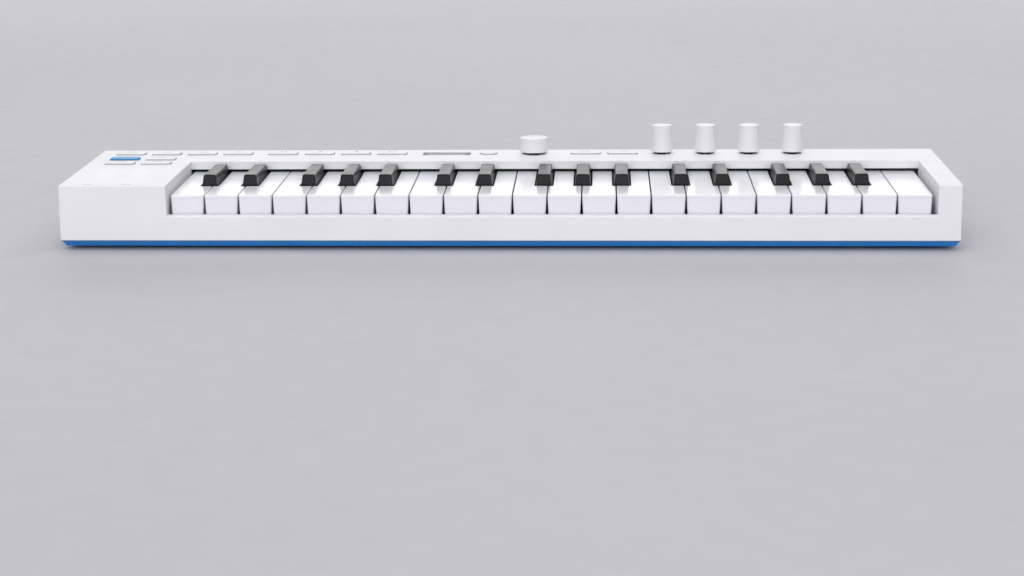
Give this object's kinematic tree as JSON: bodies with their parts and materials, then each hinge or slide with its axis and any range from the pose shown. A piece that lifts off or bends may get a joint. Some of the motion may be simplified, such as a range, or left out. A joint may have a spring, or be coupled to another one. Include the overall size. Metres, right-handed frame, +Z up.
{
  "type": "synthesizer",
  "caption": "Slim-key controller synthesizer: white shell on a blue tray, hinged piano keys in a well, turning knobs, press buttons, touch strips and a rear row of sockets.",
  "frame": {"origin": "under the middle of the body, at the bottom of the feet", "axes": "+X to the player's right along the keys, +Y from the player to the rear sockets, +Z up"},
  "size_m": [0.578, 0.1466, 0.0621],
  "materials": {
    "white_shell": "fine-textured satin white moulded plastic",
    "blue_shell": "satin blue moulded plastic",
    "white_key": "gloss white key plastic",
    "black_key": "satin black key plastic",
    "white_knob": "satin white plastic",
    "white_button": "matte white silicone-coated plastic",
    "blue_button": "matte blue silicone-coated plastic",
    "grey_frame": "plain grey moulded plastic",
    "circuit_board": "green solder mask over glass-fibre board",
    "black_plastic": "black socket plastic",
    "plated_metal": "nickel-plated socket metal",
    "brass_ring": "plated brass",
    "spring_steel": "spring and screw steel",
    "rubber": "matte rubber",
    "display_window": "smoked clear window",
    "printed_ink": "grey screen print"
  },
  "bodies": {
    "case": {"top_case": "white_shell", "bottom_case": "blue_shell", "keybed_frame": "grey_frame", "circuit_boards": "circuit_board"},
    "white_key_01": {"white_key_01": "white_key"},
    "white_key_02": {"white_key_02": "white_key"},
    "white_key_03": {"white_key_03": "white_key"},
    "white_key_04": {"white_key_04": "white_key"},
    "white_key_05": {"white_key_05": "white_key"},
    "white_key_06": {"white_key_06": "white_key"},
    "white_key_07": {"white_key_07": "white_key"},
    "white_key_08": {"white_key_08": "white_key"},
    "white_key_09": {"white_key_09": "white_key"},
    "white_key_10": {"white_key_10": "white_key"},
    "white_key_11": {"white_key_11": "white_key"},
    "white_key_12": {"white_key_12": "white_key"},
    "white_key_13": {"white_key_13": "white_key"},
    "white_key_14": {"white_key_14": "white_key"},
    "white_key_15": {"white_key_15": "white_key"},
    "white_key_16": {"white_key_16": "white_key"},
    "white_key_17": {"white_key_17": "white_key"},
    "white_key_18": {"white_key_18": "white_key"},
    "white_key_19": {"white_key_19": "white_key"},
    "white_key_20": {"white_key_20": "white_key"},
    "white_key_21": {"white_key_21": "white_key"},
    "white_key_22": {"white_key_22": "white_key"},
    "black_key_01": {"black_key_01": "black_key"},
    "black_key_02": {"black_key_02": "black_key"},
    "black_key_03": {"black_key_03": "black_key"},
    "black_key_04": {"black_key_04": "black_key"},
    "black_key_05": {"black_key_05": "black_key"},
    "black_key_06": {"black_key_06": "black_key"},
    "black_key_07": {"black_key_07": "black_key"},
    "black_key_08": {"black_key_08": "black_key"},
    "black_key_09": {"black_key_09": "black_key"},
    "black_key_10": {"black_key_10": "black_key"},
    "black_key_11": {"black_key_11": "black_key"},
    "black_key_12": {"black_key_12": "black_key"},
    "black_key_13": {"black_key_13": "black_key"},
    "black_key_14": {"black_key_14": "black_key"},
    "black_key_15": {"black_key_15": "black_key"},
    "macro_knob_1": {"macro_knob_1": "white_knob"},
    "macro_knob_2": {"macro_knob_2": "white_knob"},
    "macro_knob_3": {"macro_knob_3": "white_knob"},
    "macro_knob_4": {"macro_knob_4": "white_knob"},
    "encoder_knob": {"encoder_knob": "white_knob"},
    "function_button_1": {"function_button_1": "white_button"},
    "function_button_2": {"function_button_2": "white_button"},
    "function_button_3": {"function_button_3": "white_button"},
    "function_button_4": {"function_button_4": "white_button"},
    "transport_button_1": {"transport_button_1": "white_button"},
    "transport_button_2": {"transport_button_2": "white_button"},
    "transport_button_3": {"transport_button_3": "white_button"},
    "transport_button_4": {"transport_button_4": "white_button"},
    "mode_button_1": {"mode_button_1": "white_button"},
    "mode_button_2": {"mode_button_2": "white_button"},
    "shift_button": {"shift_button": "blue_button"},
    "cluster_buttons": {"cluster_buttons": "white_button"},
    "round_button": {"round_button": "white_button"},
    "power_switch": {"power_switch": "white_knob"}
  },
  "joints": [
    {"name": "macro_knob_1_turn", "type": "hinge", "parent": "case", "child": "macro_knob_1", "pos_m": [0.1036, 0.0563, 0.0524], "axis": [0, 0, 1], "range_deg": [-150, 150]},
    {"name": "macro_knob_2_turn", "type": "hinge", "parent": "case", "child": "macro_knob_2", "pos_m": [0.13325, 0.0563, 0.0524], "axis": [0, 0, 1], "range_deg": [-150, 150]},
    {"name": "macro_knob_3_turn", "type": "hinge", "parent": "case", "child": "macro_knob_3", "pos_m": [0.1629, 0.0563, 0.0524], "axis": [0, 0, 1], "range_deg": [-150, 150]},
    {"name": "macro_knob_4_turn", "type": "hinge", "parent": "case", "child": "macro_knob_4", "pos_m": [0.19255, 0.0563, 0.0524], "axis": [0, 0, 1], "range_deg": [-150, 150]},
    {"name": "encoder_knob_turn", "type": "hinge", "parent": "case", "child": "encoder_knob", "pos_m": [0.0155, 0.0563, 0.0488], "axis": [0, 0, 1], "continuous": true},
    {"name": "power_switch_slide", "type": "slide", "parent": "case", "child": "power_switch", "axis": [-1, 0, 0], "range_m": [0, 0.0024]},
    {"name": "shift_button_press", "type": "slide", "parent": "case", "child": "shift_button", "axis": [0, 0, -1], "range_m": [0, 0.001], "stiffness_N_per_m": 400, "springref_m": -0.002},
    {"name": "cluster_buttons_press", "type": "slide", "parent": "case", "child": "cluster_buttons", "axis": [0, 0, -1], "range_m": [0, 0.001], "stiffness_N_per_m": 400, "springref_m": -0.002},
    {"name": "round_button_press", "type": "slide", "parent": "case", "child": "round_button", "axis": [0, 0, -1], "range_m": [0, 0.001], "stiffness_N_per_m": 400, "springref_m": -0.002},
    {"name": "function_button_1_press", "type": "slide", "parent": "case", "child": "function_button_1", "axis": [0, 0, -1], "range_m": [0, 0.001], "stiffness_N_per_m": 400, "springref_m": -0.002},
    {"name": "function_button_2_press", "type": "slide", "parent": "case", "child": "function_button_2", "axis": [0, 0, -1], "range_m": [0, 0.001], "stiffness_N_per_m": 400, "springref_m": -0.002},
    {"name": "function_button_3_press", "type": "slide", "parent": "case", "child": "function_button_3", "axis": [0, 0, -1], "range_m": [0, 0.001], "stiffness_N_per_m": 400, "springref_m": -0.002},
    {"name": "function_button_4_press", "type": "slide", "parent": "case", "child": "function_button_4", "axis": [0, 0, -1], "range_m": [0, 0.001], "stiffness_N_per_m": 400, "springref_m": -0.002},
    {"name": "transport_button_1_press", "type": "slide", "parent": "case", "child": "transport_button_1", "axis": [0, 0, -1], "range_m": [0, 0.001], "stiffness_N_per_m": 400, "springref_m": -0.002},
    {"name": "transport_button_2_press", "type": "slide", "parent": "case", "child": "transport_button_2", "axis": [0, 0, -1], "range_m": [0, 0.001], "stiffness_N_per_m": 400, "springref_m": -0.002},
    {"name": "transport_button_3_press", "type": "slide", "parent": "case", "child": "transport_button_3", "axis": [0, 0, -1], "range_m": [0, 0.001], "stiffness_N_per_m": 400, "springref_m": -0.002},
    {"name": "transport_button_4_press", "type": "slide", "parent": "case", "child": "transport_button_4", "axis": [0, 0, -1], "range_m": [0, 0.001], "stiffness_N_per_m": 400, "springref_m": -0.002},
    {"name": "mode_button_1_press", "type": "slide", "parent": "case", "child": "mode_button_1", "axis": [0, 0, -1], "range_m": [0, 0.001], "stiffness_N_per_m": 400, "springref_m": -0.002},
    {"name": "mode_button_2_press", "type": "slide", "parent": "case", "child": "mode_button_2", "axis": [0, 0, -1], "range_m": [0, 0.001], "stiffness_N_per_m": 400, "springref_m": -0.002},
    {"name": "white_key_01_press", "type": "hinge", "parent": "case", "child": "white_key_01", "pos_m": [0, 0.04, 0.0269], "axis": [1, 0, 0], "range_deg": [0, 4], "stiffness_Nm_per_rad": 0.6, "springref_deg": -2.86},
    {"name": "white_key_02_press", "type": "hinge", "parent": "case", "child": "white_key_02", "pos_m": [0, 0.04, 0.0269], "axis": [1, 0, 0], "range_deg": [0, 4], "stiffness_Nm_per_rad": 0.6, "springref_deg": -2.86},
    {"name": "white_key_03_press", "type": "hinge", "parent": "case", "child": "white_key_03", "pos_m": [0, 0.04, 0.0269], "axis": [1, 0, 0], "range_deg": [0, 4], "stiffness_Nm_per_rad": 0.6, "springref_deg": -2.86},
    {"name": "white_key_04_press", "type": "hinge", "parent": "case", "child": "white_key_04", "pos_m": [0, 0.04, 0.0269], "axis": [1, 0, 0], "range_deg": [0, 4], "stiffness_Nm_per_rad": 0.6, "springref_deg": -2.86},
    {"name": "white_key_05_press", "type": "hinge", "parent": "case", "child": "white_key_05", "pos_m": [0, 0.04, 0.0269], "axis": [1, 0, 0], "range_deg": [0, 4], "stiffness_Nm_per_rad": 0.6, "springref_deg": -2.86},
    {"name": "black_key_01_press", "type": "hinge", "parent": "case", "child": "black_key_01", "pos_m": [0, 0.04, 0.0269], "axis": [1, 0, 0], "range_deg": [0, 4], "stiffness_Nm_per_rad": 0.6, "springref_deg": -2.86},
    {"name": "black_key_02_press", "type": "hinge", "parent": "case", "child": "black_key_02", "pos_m": [0, 0.04, 0.0269], "axis": [1, 0, 0], "range_deg": [0, 4], "stiffness_Nm_per_rad": 0.6, "springref_deg": -2.86},
    {"name": "black_key_03_press", "type": "hinge", "parent": "case", "child": "black_key_03", "pos_m": [0, 0.04, 0.0269], "axis": [1, 0, 0], "range_deg": [0, 4], "stiffness_Nm_per_rad": 0.6, "springref_deg": -2.86},
    {"name": "black_key_04_press", "type": "hinge", "parent": "case", "child": "black_key_04", "pos_m": [0, 0.04, 0.0269], "axis": [1, 0, 0], "range_deg": [0, 4], "stiffness_Nm_per_rad": 0.6, "springref_deg": -2.86},
    {"name": "black_key_05_press", "type": "hinge", "parent": "case", "child": "black_key_05", "pos_m": [0, 0.04, 0.0269], "axis": [1, 0, 0], "range_deg": [0, 4], "stiffness_Nm_per_rad": 0.6, "springref_deg": -2.86},
    {"name": "white_key_06_press", "type": "hinge", "parent": "case", "child": "white_key_06", "pos_m": [0, 0.04, 0.0269], "axis": [1, 0, 0], "range_deg": [0, 4], "stiffness_Nm_per_rad": 0.6, "springref_deg": -2.86},
    {"name": "white_key_07_press", "type": "hinge", "parent": "case", "child": "white_key_07", "pos_m": [0, 0.04, 0.0269], "axis": [1, 0, 0], "range_deg": [0, 4], "stiffness_Nm_per_rad": 0.6, "springref_deg": -2.86},
    {"name": "white_key_08_press", "type": "hinge", "parent": "case", "child": "white_key_08", "pos_m": [0, 0.04, 0.0269], "axis": [1, 0, 0], "range_deg": [0, 4], "stiffness_Nm_per_rad": 0.6, "springref_deg": -2.86},
    {"name": "white_key_09_press", "type": "hinge", "parent": "case", "child": "white_key_09", "pos_m": [0, 0.04, 0.0269], "axis": [1, 0, 0], "range_deg": [0, 4], "stiffness_Nm_per_rad": 0.6, "springref_deg": -2.86},
    {"name": "white_key_10_press", "type": "hinge", "parent": "case", "child": "white_key_10", "pos_m": [0, 0.04, 0.0269], "axis": [1, 0, 0], "range_deg": [0, 4], "stiffness_Nm_per_rad": 0.6, "springref_deg": -2.86},
    {"name": "white_key_11_press", "type": "hinge", "parent": "case", "child": "white_key_11", "pos_m": [0, 0.04, 0.0269], "axis": [1, 0, 0], "range_deg": [0, 4], "stiffness_Nm_per_rad": 0.6, "springref_deg": -2.86},
    {"name": "white_key_12_press", "type": "hinge", "parent": "case", "child": "white_key_12", "pos_m": [0, 0.04, 0.0269], "axis": [1, 0, 0], "range_deg": [0, 4], "stiffness_Nm_per_rad": 0.6, "springref_deg": -2.86},
    {"name": "white_key_13_press", "type": "hinge", "parent": "case", "child": "white_key_13", "pos_m": [0, 0.04, 0.0269], "axis": [1, 0, 0], "range_deg": [0, 4], "stiffness_Nm_per_rad": 0.6, "springref_deg": -2.86},
    {"name": "white_key_14_press", "type": "hinge", "parent": "case", "child": "white_key_14", "pos_m": [0, 0.04, 0.0269], "axis": [1, 0, 0], "range_deg": [0, 4], "stiffness_Nm_per_rad": 0.6, "springref_deg": -2.86},
    {"name": "white_key_15_press", "type": "hinge", "parent": "case", "child": "white_key_15", "pos_m": [0, 0.04, 0.0269], "axis": [1, 0, 0], "range_deg": [0, 4], "stiffness_Nm_per_rad": 0.6, "springref_deg": -2.86},
    {"name": "white_key_16_press", "type": "hinge", "parent": "case", "child": "white_key_16", "pos_m": [0, 0.04, 0.0269], "axis": [1, 0, 0], "range_deg": [0, 4], "stiffness_Nm_per_rad": 0.6, "springref_deg": -2.86},
    {"name": "white_key_17_press", "type": "hinge", "parent": "case", "child": "white_key_17", "pos_m": [0, 0.04, 0.0269], "axis": [1, 0, 0], "range_deg": [0, 4], "stiffness_Nm_per_rad": 0.6, "springref_deg": -2.86},
    {"name": "white_key_18_press", "type": "hinge", "parent": "case", "child": "white_key_18", "pos_m": [0, 0.04, 0.0269], "axis": [1, 0, 0], "range_deg": [0, 4], "stiffness_Nm_per_rad": 0.6, "springref_deg": -2.86},
    {"name": "white_key_19_press", "type": "hinge", "parent": "case", "child": "white_key_19", "pos_m": [0, 0.04, 0.0269], "axis": [1, 0, 0], "range_deg": [0, 4], "stiffness_Nm_per_rad": 0.6, "springref_deg": -2.86},
    {"name": "white_key_20_press", "type": "hinge", "parent": "case", "child": "white_key_20", "pos_m": [0, 0.04, 0.0269], "axis": [1, 0, 0], "range_deg": [0, 4], "stiffness_Nm_per_rad": 0.6, "springref_deg": -2.86},
    {"name": "white_key_21_press", "type": "hinge", "parent": "case", "child": "white_key_21", "pos_m": [0, 0.04, 0.0269], "axis": [1, 0, 0], "range_deg": [0, 4], "stiffness_Nm_per_rad": 0.6, "springref_deg": -2.86},
    {"name": "white_key_22_press", "type": "hinge", "parent": "case", "child": "white_key_22", "pos_m": [0, 0.04, 0.0269], "axis": [1, 0, 0], "range_deg": [0, 4], "stiffness_Nm_per_rad": 0.6, "springref_deg": -2.86},
    {"name": "black_key_06_press", "type": "hinge", "parent": "case", "child": "black_key_06", "pos_m": [0, 0.04, 0.0269], "axis": [1, 0, 0], "range_deg": [0, 4], "stiffness_Nm_per_rad": 0.6, "springref_deg": -2.86},
    {"name": "black_key_07_press", "type": "hinge", "parent": "case", "child": "black_key_07", "pos_m": [0, 0.04, 0.0269], "axis": [1, 0, 0], "range_deg": [0, 4], "stiffness_Nm_per_rad": 0.6, "springref_deg": -2.86},
    {"name": "black_key_08_press", "type": "hinge", "parent": "case", "child": "black_key_08", "pos_m": [0, 0.04, 0.0269], "axis": [1, 0, 0], "range_deg": [0, 4], "stiffness_Nm_per_rad": 0.6, "springref_deg": -2.86},
    {"name": "black_key_09_press", "type": "hinge", "parent": "case", "child": "black_key_09", "pos_m": [0, 0.04, 0.0269], "axis": [1, 0, 0], "range_deg": [0, 4], "stiffness_Nm_per_rad": 0.6, "springref_deg": -2.86},
    {"name": "black_key_10_press", "type": "hinge", "parent": "case", "child": "black_key_10", "pos_m": [0, 0.04, 0.0269], "axis": [1, 0, 0], "range_deg": [0, 4], "stiffness_Nm_per_rad": 0.6, "springref_deg": -2.86},
    {"name": "black_key_11_press", "type": "hinge", "parent": "case", "child": "black_key_11", "pos_m": [0, 0.04, 0.0269], "axis": [1, 0, 0], "range_deg": [0, 4], "stiffness_Nm_per_rad": 0.6, "springref_deg": -2.86},
    {"name": "black_key_12_press", "type": "hinge", "parent": "case", "child": "black_key_12", "pos_m": [0, 0.04, 0.0269], "axis": [1, 0, 0], "range_deg": [0, 4], "stiffness_Nm_per_rad": 0.6, "springref_deg": -2.86},
    {"name": "black_key_13_press", "type": "hinge", "parent": "case", "child": "black_key_13", "pos_m": [0, 0.04, 0.0269], "axis": [1, 0, 0], "range_deg": [0, 4], "stiffness_Nm_per_rad": 0.6, "springref_deg": -2.86},
    {"name": "black_key_14_press", "type": "hinge", "parent": "case", "child": "black_key_14", "pos_m": [0, 0.04, 0.0269], "axis": [1, 0, 0], "range_deg": [0, 4], "stiffness_Nm_per_rad": 0.6, "springref_deg": -2.86},
    {"name": "black_key_15_press", "type": "hinge", "parent": "case", "child": "black_key_15", "pos_m": [0, 0.04, 0.0269], "axis": [1, 0, 0], "range_deg": [0, 4], "stiffness_Nm_per_rad": 0.6, "springref_deg": -2.86}
  ]
}
